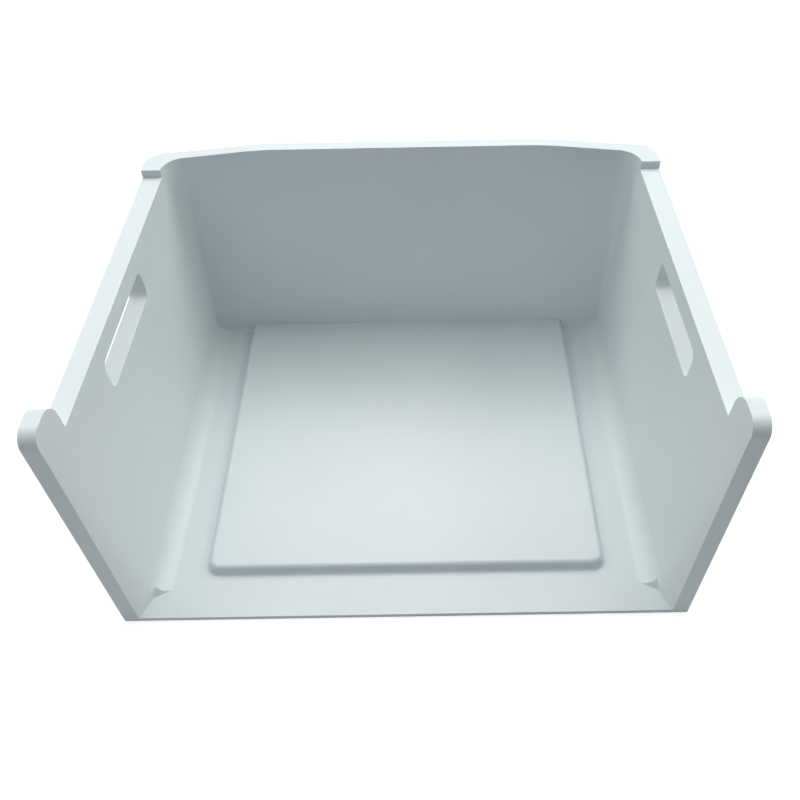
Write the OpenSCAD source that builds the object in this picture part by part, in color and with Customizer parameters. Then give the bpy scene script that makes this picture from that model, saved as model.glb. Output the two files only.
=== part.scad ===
// Freezer drawer, moulded in one piece: an open-fronted tub with a raised floor panel,
// folded-out edges, front ears, a crowned back rim and one hand slot in each side wall.
// Millimetres. X is across the drawer, Y runs from the open front to the back, Z is up.
// The origin is the middle of the base.

/* [Body] */

// width across the two side rims at their front ends
overall_w = 430; // [400:1:480]
// depth from the front edge to the back rim
overall_d = 329; // [300:1:360]
// thickness of walls and rims
wall_t = 2.5; // [2:0.1:3]
// thickness of the floor
floor_t = 2.5; // [2:0.1:3.2]

/* [Side walls] */

// height of the side rims
rim_z = 188; // [170:1:200]
// width of the side rims at the front, measured from the inner wall face
rim_w = 14; // [11:0.5:18]
// outward lean of the side walls in degrees
side_draft = 2.85; // [1.5:0.05:4]
// how far each side wall closes in towards the back, in degrees
side_taper = 0.7; // [0.3:0.05:1.2]
// how far the outer edge of each side rim closes in towards the back, in degrees
rim_taper = 0.25; // [0:0.05:0.5]
// inner radius between side wall and floor
side_floor_r = 16; // [10:1:20]

/* [Front edges and ears] */

// width of the front edge, measured from the inner wall face
flange_w = 11.4; // [9:0.2:14]
// height of the ears above the base
ear_z = 213; // [206:1:225]
// depth of the ears from the front edge to the side rim
ear_d = 30.5; // [28:0.5:40]
// radius of the front corner of an ear
ear_front_r = 10.5; // [6:0.5:13]
// radius of the back corner of an ear
ear_back_r = 13; // [6:0.5:14]
// how far the front edge stands outside the side wall at the base
flare = 6.8; // [4:0.2:9]
// height at which the front edge meets the plane of the side wall
flare_z = 195; // [180:5:220]
// length of the flared part along the floor
flare_d = 17.5; // [14:0.5:24]
// height of the slope that rises to the front edge of the floor
lip_h = 1.3; // [0.6:0.1:2]
// turn of the end face of the floor rounding in degrees
end_turn = 25.8; // [15:0.2:35]
// backward lean of the end face of the floor rounding in degrees
end_lean = 30; // [15:1:40]

/* [Back wall] */

// width of the back rim, measured from the inner wall face
back_rim_w = 10.3; // [8:0.1:14]
// outward lean of the back wall in degrees
back_draft = 1.4; // [0.6:0.1:3]
// inner radius between back wall and floor
back_floor_r = 3; // [2:0.5:5]
// inner corner radius between side and back wall at the base
corner_low_r = 1; // [0.6:0.2:3]
// inner corner radius between side and back wall at the side rim height
corner_top_r = 16.5; // [10:0.5:20]
// outer corner radius of the rim
rim_corner_r = 18; // [14:1:24]
// distance from the front edge to the step up to the back rim
step_y = 302; // [290:1:306]
// height of that step
step_h = 6.5; // [4:0.5:10]
// extra height in the middle of the back rim
crown_h = 6.8; // [3:0.2:10]
// half width of the flat middle of the back rim
crown_in = 112; // [90:2:120]
// half width at which the back rim starts to rise
crown_out = 196; // [185:1:198]

/* [Raised floor panel] */

// width of the panel across its top edges
plate_w = 304; // [280:2:312]
// distance from the front edge to the front of the panel
plate_y = 38.4; // [34:0.2:48]
// height of the panel above the floor
plate_h = 8; // [5:0.5:11]
// lean of the sides of the panel in degrees
plate_lean = 14; // [6:1:20]
// corner radius of the panel seen from above
plate_corner_r = 8; // [6:0.5:14]
// radius of the top edge of the panel
plate_edge_r = 3.5; // [3:0.1:4]
// radius at the foot of the panel
plate_foot_r = 2.5; // [1:0.25:4]

/* [Hand slots] */

// distance from the front edge to the middle of a slot
slot_y = 148; // [130:1:165]
// height of the middle of a slot
slot_z = 161; // [140:0.5:161]
// length of a slot
slot_l = 101; // [85:1:115]
// height of a slot
slot_h = 24; // [20:0.5:26]
// corner radius of a slot
slot_r = 6.5; // [4:0.5:9]
// depth of the tunnel around a slot, measured from the inner wall face
slot_d = 13.3; // [10:0.1:14]

/* [Hidden] */

$fn = 64;

big = 600;
// circles that round an edge are this much larger, so that they cross the faces they meet
over = 0.01;
m_side = tan(side_draft);
k_side = tan(side_taper);
m_back = tan(back_draft);
// inner half width of the side walls at the base and the front
half_w = overall_w / 2 - rim_w - m_side * rim_z + k_side * ear_d;
// lean of the front edges
m_front = m_side - flare / flare_z;
half_front = half_w + flare;
// turn of the flared part of the side walls
flare_turn = atan((flare + (m_front - m_side) * floor_t + k_side * flare_d) / flare_d);
flare_lean = atan(m_front * cos(flare_turn));
back_rim_z = rim_z + step_h;
crown_z = back_rim_z + crown_h;
// inner face of the back wall at the base
back_y = overall_d - back_rim_w - m_back * back_rim_z;
end_x = half_w + m_side * floor_t - k_side * flare_d;
plate_z = floor_t + plate_h;

// everything on the inner side of a side wall plane, with the rounding to the floor
module side_space(off) {
    r = side_floor_r + off;
    cz = floor_t + side_floor_r;
    cx = -half_w + (side_floor_r - cz * sin(side_draft)) / cos(side_draft);
    top = 300;
    rotate([0, 0, -side_taper])
        translate([0, big, 0])
            rotate([90, 0, 0])
                linear_extrude(height = 2 * big)
                    union() {
                        polygon([
                            [cx, cz],
                            [cx - r * cos(side_draft), cz - r * sin(side_draft)],
                            [cx - r * cos(side_draft) - (top - cz + r * sin(side_draft)) * m_side, top],
                            [big, top],
                            [big, floor_t - off],
                            [cx, floor_t - off]
                        ]);
                        translate([cx, cz])
                            circle(r = r + over);
                    }
}

// everything in front of the back wall plane, with the rounding to the floor
module back_space(off) {
    r = back_floor_r + off;
    cz = floor_t + back_floor_r;
    cy = back_y - (back_floor_r - cz * sin(back_draft)) / cos(back_draft);
    top = 300;
    translate([-big, 0, 0])
        rotate([90, 0, 90])
            linear_extrude(height = 2 * big)
                union() {
                    polygon([
                        [cy, cz],
                        [cy + r * cos(back_draft), cz - r * sin(back_draft)],
                        [cy + r * cos(back_draft) + (top - cz + r * sin(back_draft)) * m_back, top],
                        [-big, top],
                        [-big, floor_t - off],
                        [cy, floor_t - off]
                    ]);
                    translate([cy, cz])
                        circle(r = r + over);
                }
}

// the corner between side and back wall: what lies outside a cone that opens upwards
module corner_rest(off) {
    open = (corner_top_r - corner_low_r) / rim_z;
    ay = m_back - open * sqrt(1 + m_back * m_back);
    ax = open * sqrt(1 + k_side * k_side + m_side * m_side) - m_side + k_side * ay;
    tilt = atan(sqrt(ax * ax + ay * ay));
    turn = atan2(ay, ax);
    low = -corner_low_r / open;
    // point where the two wall planes meet at the height of the cone's point
    px = -half_w - m_side * low + k_side * (back_y + m_back * low);
    py = back_y + m_back * low;
    len = 320;
    sa = open / sqrt(1 + ax * ax + ay * ay);
    back = off / sa;
    cone_r = (len + back) * tan(asin(sa));
    // the cone is this much wider than the one that would just touch the walls
    extra = 0.1;
    translate([px, py, low])
        rotate([0, 0, turn])
            rotate([0, tilt, 0])
                translate([0, 0, -back])
                    difference() {
                        rotate([0, 0, 135 - turn])
                            rotate([0, atan(tan(asin(sa)) * cos(45)), 0])
                                translate([0, -60, 1])
                                    cube([80, 120, len + back - 10]);
                        cylinder(h = len + back, r1 = extra, r2 = cone_r + extra);
                    }
}

// the flared corner at the front end of a side wall
module front_space(off) {
    intersection() {
        translate([-half_front, 0, 0])
            rotate([0, 0, -flare_turn])
                rotate([0, -flare_lean, 0])
                    translate([-off, -big / 2, -big / 2])
                        cube([big, big, big]);
        translate([-end_x, flare_d, floor_t])
            rotate([0, 0, end_turn])
                rotate([-end_lean, 0, 0])
                    translate([-big / 2, off - big, -big / 2])
                        cube([big, big, big]);
        translate([-big / 2, -100, floor_t - off])
            cube([big / 2, 300, 290 - floor_t + off]);
    }
}

// half of the tub as a solid, grown outwards by off
module half_tub(off) {
    union() {
        intersection() {
            difference() {
                intersection() {
                    side_space(off);
                    back_space(off);
                }
                corner_rest(off);
            }
            translate([-big / 2, -100, -50])
                cube([big / 2, big, 340]);
        }
        front_space(off);
    }
}

module tub(off) {
    union() {
        half_tub(off);
        mirror([1, 0, 0])
            half_tub(off);
    }
}

// side view of ear, front edge and side rim, drawn inwards by off
module side_outline(off) {
    rf = ear_front_r - off;
    rb = ear_back_r - off;
    union() {
        polygon([
            [off, -10],
            [off, ear_z - ear_front_r],
            [ear_front_r, ear_z - ear_front_r],
            [ear_front_r, ear_z - off],
            [ear_d - ear_back_r, ear_z - off],
            [ear_d - ear_back_r, ear_z - ear_back_r],
            [ear_d - off, ear_z - ear_back_r],
            [ear_d - off, rim_z - off],
            [step_y + off, rim_z - off],
            [step_y + off, back_rim_z - off],
            [step_y + 10, back_rim_z - off],
            [step_y + 10, -10]
        ]);
        translate([ear_front_r, ear_z - ear_front_r])
            circle(r = rf + over);
        translate([ear_d - ear_back_r, ear_z - ear_back_r])
            circle(r = rb + over);
    }
}

module side_band() {
    difference() {
        side_outline(0);
        side_outline(wall_t);
    }
}

// back view of the crowned rim, drawn inwards by off
module crown_outline(off) {
    dx = (crown_out - crown_in) / 5;
    dz = crown_h / 7;
    polygon([
        [-big / 2, -10],
        [-big / 2, back_rim_z - off],
        [-crown_out, back_rim_z - off],
        [-crown_out + dx, back_rim_z + dz - off],
        [-crown_in - dx, crown_z - dz - off],
        [-crown_in, crown_z - off],
        [crown_in, crown_z - off],
        [crown_in + dx, crown_z - dz - off],
        [crown_out - dx, back_rim_z + dz - off],
        [crown_out, back_rim_z - off],
        [big / 2, back_rim_z - off],
        [big / 2, -10]
    ]);
}

// everything below the top of the rims
module under_rims() {
    union() {
        translate([-big / 2, 0, 0])
            rotate([90, 0, 90])
                linear_extrude(height = big)
                    intersection() {
                        side_outline(0);
                        translate([-1, 0])
                            square([step_y + 1, ear_z + 10]);
                    }
        translate([0, overall_d + 10, 0])
            rotate([90, 0, 0])
                linear_extrude(height = overall_d + 10 - step_y)
                    intersection() {
                        crown_outline(0);
                        translate([-big / 2, 0])
                            square([big, crown_z + 10]);
                    }
    }
}

// front edge and ear of the left side, from the tub outwards
module front_flange() {
    intersection() {
        translate([-half_front - 40, 0, 0])
            rotate([90, 0, 90])
                linear_extrude(height = 60)
                    intersection() {
                        side_band();
                        translate([-1, 0])
                            square([ear_d + 1, ear_z + 10]);
                    }
        translate([-half_front - flange_w, 0, 0])
            rotate([0, -atan(m_front), 0])
                translate([0, -10, -20])
                    cube([100, 60, 260]);
    }
}

// left side rim up to and including the step
module side_rim() {
    intersection() {
        translate([-overall_w / 2 - 20, 0, 0])
            rotate([90, 0, 90])
                linear_extrude(height = 60)
                    intersection() {
                        side_band();
                        translate([ear_d - wall_t, 0])
                            square([step_y + 2 * wall_t - ear_d, back_rim_z]);
                    }
        rim_side_space();
    }
}

// everything inside the outer edge of the left side rim
module rim_side_space() {
    translate([-overall_w / 2, ear_d - wall_t, 0])
        rotate([0, 0, -rim_taper])
            translate([0, -50, 0])
                cube([big, big, 260]);
}

// rim around the back, with rounded outer corners
module back_rim() {
    tx = overall_w / 2 - (overall_d - ear_d) * tan(rim_taper);
    intersection() {
        translate([0, overall_d, 0])
            rotate([90, 0, 0])
                linear_extrude(height = overall_d - step_y)
                    difference() {
                        crown_outline(0);
                        crown_outline(wall_t);
                    }
        rim_side_space();
        mirror([1, 0, 0])
            rim_side_space();
        linear_extrude(height = 260)
            union() {
                translate([-big / 2, step_y - 10])
                    square([big, overall_d - step_y + 10 - rim_corner_r]);
                translate([-tx + rim_corner_r, step_y - 10])
                    square([2 * tx - 2 * rim_corner_r, overall_d - step_y + 10]);
                translate([-tx + rim_corner_r, overall_d - rim_corner_r])
                    circle(r = rim_corner_r + over);
                translate([tx - rim_corner_r, overall_d - rim_corner_r])
                    circle(r = rim_corner_r + over);
            }
    }
}

// section through the edge of the raised panel, drawn inwards by off
module plate_section(off, low, er) {
    top = plate_z - off;
    t = tan(plate_lean);
    side0 = plate_corner_r - off / cos(plate_lean);
    cz = top - er;
    cs = side0 + (plate_z - cz) * t - er / cos(plate_lean);
    union() {
        polygon([
            [0, low],
            [side0 + (plate_z - low) * t, low],
            [cs + er * cos(plate_lean), cz + er * sin(plate_lean)],
            [cs, cz],
            [cs, top],
            [0, top]
        ]);
        translate([cs, cz])
            circle(r = er + over);
    }
}

// hollow rounding at the foot of the raised panel
module plate_foot() {
    t = tan(plate_lean);
    fz = floor_t + plate_foot_r;
    fs = plate_corner_r + (plate_z - fz) * t + plate_foot_r / cos(plate_lean);
    difference() {
        polygon([
            [fs - plate_foot_r * cos(plate_lean) - 1, floor_t - 1],
            [fs - plate_foot_r * cos(plate_lean) - 1, fz - plate_foot_r * sin(plate_lean)],
            [fs - plate_foot_r * cos(plate_lean), fz - plate_foot_r * sin(plate_lean)],
            [fs, fz],
            [fs, floor_t - 1]
        ]);
        translate([fs, fz])
            circle(r = plate_foot_r + over);
    }
}

module plate_profile(off, low, er) {
    if (off > 0) {
        plate_section(off, low, er);
    } else {
        union() {
            plate_section(off, low, er);
            plate_foot();
        }
    }
}

// raised panel, drawn inwards by off, down to the height low and back to y1
module plate(off, low, er, y1) {
    hx = plate_w / 2 - plate_corner_r;
    y0 = plate_y + plate_corner_r;
    union() {
        translate([-hx, y0, low])
            cube([2 * hx, y1 - y0, plate_z - off - low]);
        translate([-hx, y0, 0])
            rotate([90, 0, 90])
                linear_extrude(height = 2 * hx)
                    mirror([1, 0])
                        plate_profile(off, low, er);
        for (s = [0, 1])
            mirror([s, 0, 0]) {
                translate([hx, y1, 0])
                    rotate([90, 0, 0])
                        linear_extrude(height = y1 - y0)
                            plate_profile(off, low, er);
                translate([hx, y0, 0])
                    rotate([0, 0, -90])
                        rotate_extrude(angle = 90)
                            plate_profile(off, low, er);
            }
    }
}

// slope at the front edge of the floor
module front_slope() {
    translate([-half_front - 2, 0, 0])
        rotate([90, 0, 90])
            linear_extrude(height = 2 * half_front + 4)
                polygon([
                    [0, floor_t / 2],
                    [0, floor_t + lip_h],
                    [flare_d, floor_t],
                    [flare_d, floor_t / 2]
                ]);
}

// rounded window of a hand slot in side view
module slot_window(off) {
    l = slot_l + 2 * off;
    h = slot_h + 2 * off;
    r = slot_r + off;
    union() {
        translate([slot_y - l / 2 + r, slot_z - h / 2])
            square([l - 2 * r, h]);
        translate([slot_y - l / 2, slot_z - h / 2 + r])
            square([l, h - 2 * r]);
        for (i = [-1, 1])
            for (j = [-1, 1])
                translate([slot_y + i * (l / 2 - r), slot_z + j * (h / 2 - r)])
                    circle(r = r + over);
    }
}

// tunnel around the left hand slot
module slot_tunnel() {
    out = m_side * slot_z + slot_d;
    translate([-half_w, 0, 0])
        rotate([0, 0, -side_taper])
            translate([-out, 0, 0])
                rotate([90, 0, 90])
                    linear_extrude(height = slot_d - wall_t / 2)
                        slot_window(wall_t);
}

module slot_cut() {
    out = m_side * slot_z + slot_d;
    translate([-half_w, 0, 0])
        rotate([0, 0, -side_taper])
            translate([-out - 20, 0, 0])
                rotate([90, 0, 90])
                    linear_extrude(height = slot_d + 40)
                        slot_window(0);
}

module drawer() {
    color([0.86, 0.9, 0.9])
        translate([0, -overall_d / 2, 0])
            difference() {
                union() {
                    difference() {
                        union() {
                            intersection() {
                                tub(wall_t);
                                under_rims();
                            }
                            for (s = [0, 1])
                                mirror([s, 0, 0]) {
                                    front_flange();
                                    side_rim();
                                    slot_tunnel();
                                }
                            back_rim();
                        }
                        tub(0);
                    }
                    intersection() {
                        front_slope();
                        tub(wall_t / 2);
                    }
                    plate(0, floor_t / 2, plate_edge_r, back_y + wall_t / 2);
                }
                plate(wall_t, -5, plate_edge_r - wall_t, back_y - back_floor_r - 0.5);
                for (s = [0, 1])
                    mirror([s, 0, 0])
                        slot_cut();
            }
}

drawer();
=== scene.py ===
import math

import bpy
from mathutils import Matrix, Vector

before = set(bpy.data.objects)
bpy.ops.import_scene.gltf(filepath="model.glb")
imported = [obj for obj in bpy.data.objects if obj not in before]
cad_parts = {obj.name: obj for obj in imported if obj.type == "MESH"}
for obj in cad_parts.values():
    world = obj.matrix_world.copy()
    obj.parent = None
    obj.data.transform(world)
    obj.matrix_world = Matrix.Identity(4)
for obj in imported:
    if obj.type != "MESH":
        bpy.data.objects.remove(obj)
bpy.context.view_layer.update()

MM = 0.001
DEPTH = 329 * MM

# Plastic
PLASTIC_IOR = 1.49
TINT_LOW = (0.715, 0.772, 0.785, 1)
TINT_HIGH = (0.745, 0.800, 0.806, 1)
ROUGHNESS_LOW = 0.34
ROUGHNESS_HIGH = 0.46
GRAIN_DEPTH = 0.08 * MM
SINK_DEPTH = 1.2 * MM

# Moulded edges
WELD_DISTANCE = 0.001 * MM
EDGE_RADIUS = 0.5 * MM
EDGE_SEGMENTS = 2
EDGE_ANGLE = math.radians(35)
NORMAL_WEIGHT = 50

# Floor
FLOOR_HALF = 6.0
FLOOR_Z = -0.2 * MM
FLOOR_COLOR = 0.5
FLOOR_LIFT = 0.74

# Light
WORLD_COLOR = (0.74, 0.86, 1.0, 1)
WORLD_FRONT = 0.14
WORLD_BACK = 0.40
LAMP_WATTS = {"back_top": 5.0, "right_top": 13.0, "left_top": 8.5, "above": 17.5, "front": 3.0}

# Camera, in pixels of the square picture and in metres
PICTURE_PX = 800
FOCAL_PX = 831.6
CENTRE_PX = (425.21, 393.49)
CAMERA_PLACE = (0.01994, -0.29900 - DEPTH / 2, 0.56989)
CAMERA_TURN = (47.322, -0.3464, 1.2392)
SENSOR_MM = 36.0

scene = bpy.context.scene
scene.view_settings.view_transform = "Standard"


def node_tree(name):
    """A new material with an empty node tree."""
    mat = bpy.data.materials.new(name)
    mat.use_nodes = True
    mat.node_tree.nodes.clear()
    return mat, mat.node_tree.nodes, mat.node_tree.links


def add(nodes, kind, x, y, **values):
    """A node of a kind at a place, with input sockets or settings given by name."""
    node = nodes.new(kind)
    node.location = (x, y)
    for key, value in values.items():
        if key in node.inputs:
            node.inputs[key].default_value = value
        else:
            setattr(node, key, value)
    return node


def background_rays(nodes, links):
    """1 for the rays that should meet a white background: camera, glossy and transmission."""
    path = add(nodes, "ShaderNodeLightPath", -400, -300)
    first = add(nodes, "ShaderNodeMath", -200, -300, operation="MAXIMUM")
    both = add(nodes, "ShaderNodeMath", 0, -300, operation="MAXIMUM")
    links.new(path.outputs["Is Camera Ray"], first.inputs[0])
    links.new(path.outputs["Is Glossy Ray"], first.inputs[1])
    links.new(first.outputs["Value"], both.inputs[0])
    links.new(path.outputs["Is Transmission Ray"], both.inputs[1])
    return both.outputs["Value"]


def moulded_plastic():
    """White moulded plastic: a faint cloudiness in the colour and a very fine surface texture."""
    mat, nodes, links = node_tree("moulded_plastic")
    out = add(nodes, "ShaderNodeOutputMaterial", 900, 0)
    skin = add(nodes, "ShaderNodeBsdfPrincipled", 600, 0)
    skin.inputs["IOR"].default_value = PLASTIC_IOR
    links.new(skin.outputs["BSDF"], out.inputs["Surface"])
    coords = add(nodes, "ShaderNodeTexCoord", -900, 0)

    cloud = add(nodes, "ShaderNodeTexNoise", -600, 250, Scale=9.0, Detail=3.0, Roughness=0.45)
    links.new(coords.outputs["Object"], cloud.inputs["Vector"])
    tint = add(nodes, "ShaderNodeValToRGB", -300, 250)
    tint.color_ramp.elements[0].position = 0.3
    tint.color_ramp.elements[0].color = TINT_LOW
    tint.color_ramp.elements[1].position = 0.7
    tint.color_ramp.elements[1].color = TINT_HIGH
    links.new(cloud.outputs["Fac"], tint.inputs["Fac"])
    links.new(tint.outputs["Color"], skin.inputs["Base Color"])

    smear = add(nodes, "ShaderNodeTexNoise", -600, -50, Scale=22.0, Detail=4.0, Roughness=0.55)
    links.new(coords.outputs["Object"], smear.inputs["Vector"])
    gloss = add(nodes, "ShaderNodeMapRange", -300, -50)
    gloss.inputs["To Min"].default_value = ROUGHNESS_LOW
    gloss.inputs["To Max"].default_value = ROUGHNESS_HIGH
    links.new(smear.outputs["Fac"], gloss.inputs["Value"])
    links.new(gloss.outputs["Result"], skin.inputs["Roughness"])

    fine = add(nodes, "ShaderNodeTexNoise", -600, -350, Scale=900.0, Detail=2.0, Roughness=0.6)
    links.new(coords.outputs["Object"], fine.inputs["Vector"])
    wave = add(nodes, "ShaderNodeTexNoise", -600, -650, Scale=14.0, Detail=1.0, Roughness=0.4)
    links.new(coords.outputs["Object"], wave.inputs["Vector"])
    grain = add(nodes, "ShaderNodeBump", 50, -350, Strength=0.12, Distance=GRAIN_DEPTH)
    links.new(fine.outputs["Fac"], grain.inputs["Height"])
    sink = add(nodes, "ShaderNodeBump", 300, -450, Strength=0.25, Distance=SINK_DEPTH)
    links.new(wave.outputs["Fac"], sink.inputs["Height"])
    links.new(grain.outputs["Normal"], sink.inputs["Normal"])
    links.new(sink.outputs["Normal"], skin.inputs["Normal"])
    return mat


def pale_floor():
    """Table top that photographs pure white and still takes the object's shadow."""
    mat, nodes, links = node_tree("pale_floor")
    out = add(nodes, "ShaderNodeOutputMaterial", 900, 0)
    both = add(nodes, "ShaderNodeAddShader", 700, 0)
    face = add(nodes, "ShaderNodeBsdfDiffuse", 400, 100, Color=(FLOOR_COLOR, FLOOR_COLOR, FLOOR_COLOR, 1))
    glow = add(nodes, "ShaderNodeEmission", 400, -100, Color=(1, 1, 1, 1))
    lift = add(nodes, "ShaderNodeMath", 200, -100, operation="MULTIPLY")
    lift.inputs[1].default_value = FLOOR_LIFT
    links.new(background_rays(nodes, links), lift.inputs[0])
    links.new(lift.outputs["Value"], glow.inputs["Strength"])
    links.new(face.outputs["BSDF"], both.inputs[0])
    links.new(glow.outputs["Emission"], both.inputs[1])
    links.new(both.outputs["Shader"], out.inputs["Surface"])
    return mat


def dress_drawer():
    """Plastic on the drawer, and a small radius on its edges, as a mould leaves them."""
    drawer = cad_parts["drawer"]
    drawer.data.materials.clear()
    drawer.data.materials.append(moulded_plastic())
    weld = drawer.modifiers.new("weld", "WELD")
    weld.merge_threshold = WELD_DISTANCE
    bevel = drawer.modifiers.new("soft_edges", "BEVEL")
    bevel.width = EDGE_RADIUS
    bevel.segments = EDGE_SEGMENTS
    bevel.limit_method = "ANGLE"
    bevel.angle_limit = EDGE_ANGLE
    bevel.use_clamp_overlap = True
    normals = drawer.modifiers.new("weighted_normals", "WEIGHTED_NORMAL")
    normals.weight = NORMAL_WEIGHT


def build_floor():
    """A wide flat table top just under the drawer."""
    signs = ((-1, -1), (1, -1), (1, 1), (-1, 1))
    corners = [(FLOOR_HALF * x, FLOOR_HALF * y, 0) for x, y in signs]
    mesh = bpy.data.meshes.new("floor")
    mesh.from_pydata(corners, [], [range(len(corners))])
    floor = bpy.data.objects.new("floor", mesh)
    floor.location.z = FLOOR_Z
    scene.collection.objects.link(floor)
    mesh.materials.append(pale_floor())


def build_world():
    """A dim bluish room, brighter behind the drawer than in front, that shows as plain white."""
    world = bpy.data.worlds.new("studio")
    scene.world = world
    world.use_nodes = True
    nodes, links = world.node_tree.nodes, world.node_tree.links
    nodes.clear()
    out = add(nodes, "ShaderNodeOutputWorld", 800, 0)
    pick = add(nodes, "ShaderNodeMixShader", 600, 0)
    dim = add(nodes, "ShaderNodeBackground", 300, 100, Color=WORLD_COLOR)
    white = add(nodes, "ShaderNodeBackground", 300, -100, Color=(1, 1, 1, 1), Strength=1.0)
    way = add(nodes, "ShaderNodeTexCoord", -500, 200)
    split = add(nodes, "ShaderNodeSeparateXYZ", -250, 200)
    level = add(nodes, "ShaderNodeMapRange", 0, 200)
    level.inputs["From Min"].default_value = -1.0
    level.inputs["From Max"].default_value = 1.0
    level.inputs["To Min"].default_value = WORLD_FRONT
    level.inputs["To Max"].default_value = WORLD_BACK
    links.new(way.outputs["Generated"], split.inputs["Vector"])
    links.new(split.outputs["Y"], level.inputs["Value"])
    links.new(level.outputs["Result"], dim.inputs["Strength"])
    links.new(background_rays(nodes, links), pick.inputs["Fac"])
    links.new(dim.outputs["Background"], pick.inputs[1])
    links.new(white.outputs["Background"], pick.inputs[2])
    links.new(pick.outputs["Shader"], out.inputs["Surface"])


def area_lamp(name, place, aim, size, power, color):
    """A rectangular lamp at place that faces aim."""
    data = bpy.data.lights.new(name, "AREA")
    data.shape = "RECTANGLE"
    data.size, data.size_y = size
    data.energy = power
    data.color = color
    lamp = bpy.data.objects.new(name, data)
    scene.collection.objects.link(lamp)
    lamp.location = place
    lamp.rotation_euler = (Vector(aim) - Vector(place)).to_track_quat("-Z", "Y").to_euler()


def build_lamps():
    """A key lamp behind the drawer, soft lamps above and at both sides, and a weak one in front."""
    glow = Vector((0.030, 0.125 - DEPTH / 2, 0.01))
    toward = Vector((0.014, 0.61, 0.79)).normalized()
    middle = Vector((0, 0, 0.10))
    lamps = (
        ("back_top", glow + toward * 1.7, glow, (1.0, 0.7), (1.0, 1.0, 0.97)),
        ("right_top", Vector((1.5, 0.35, 1.3)), middle, (1.2, 1.0), (1.0, 0.97, 0.90)),
        ("left_top", Vector((-1.5, 0.35, 1.3)), middle, (1.2, 1.0), (1.0, 0.97, 0.90)),
        ("above", Vector((0, 0.75, 1.9)), middle, (2.4, 1.2), (1.0, 1.0, 0.99)),
        ("front", Vector((-0.9, -1.6, 0.9)), middle, (1.0, 1.0), (1.0, 1.0, 1.0)),
    )
    for name, place, aim, size, color in lamps:
        area_lamp(name, place, aim, size, LAMP_WATTS[name], color)


def build_camera():
    """The camera that was solved from the photograph, in the part's own frame."""
    pitch, yaw, roll = (math.radians(angle) for angle in CAMERA_TURN)
    level = math.cos(pitch)
    ahead = Vector((math.sin(yaw) * level, math.cos(yaw) * level, -math.sin(pitch)))
    side = Vector((math.cos(yaw), -math.sin(yaw), 0))
    down = ahead.cross(side)
    right = math.cos(roll) * side + math.sin(roll) * down
    up = math.sin(roll) * side - math.cos(roll) * down
    data = bpy.data.cameras.new("camera")
    data.sensor_fit = "HORIZONTAL"
    data.sensor_width = SENSOR_MM
    data.lens = FOCAL_PX / PICTURE_PX * SENSOR_MM
    data.shift_x = 0.5 - CENTRE_PX[0] / PICTURE_PX
    data.shift_y = CENTRE_PX[1] / PICTURE_PX - 0.5
    data.clip_start = 0.01
    camera = bpy.data.objects.new("camera", data)
    scene.collection.objects.link(camera)
    turn = Matrix((right, up, -ahead)).transposed().to_4x4()
    camera.matrix_world = Matrix.Translation(CAMERA_PLACE) @ turn
    scene.camera = camera


dress_drawer()
build_floor()
build_world()
build_lamps()
build_camera()

bpy.context.view_layer.update()
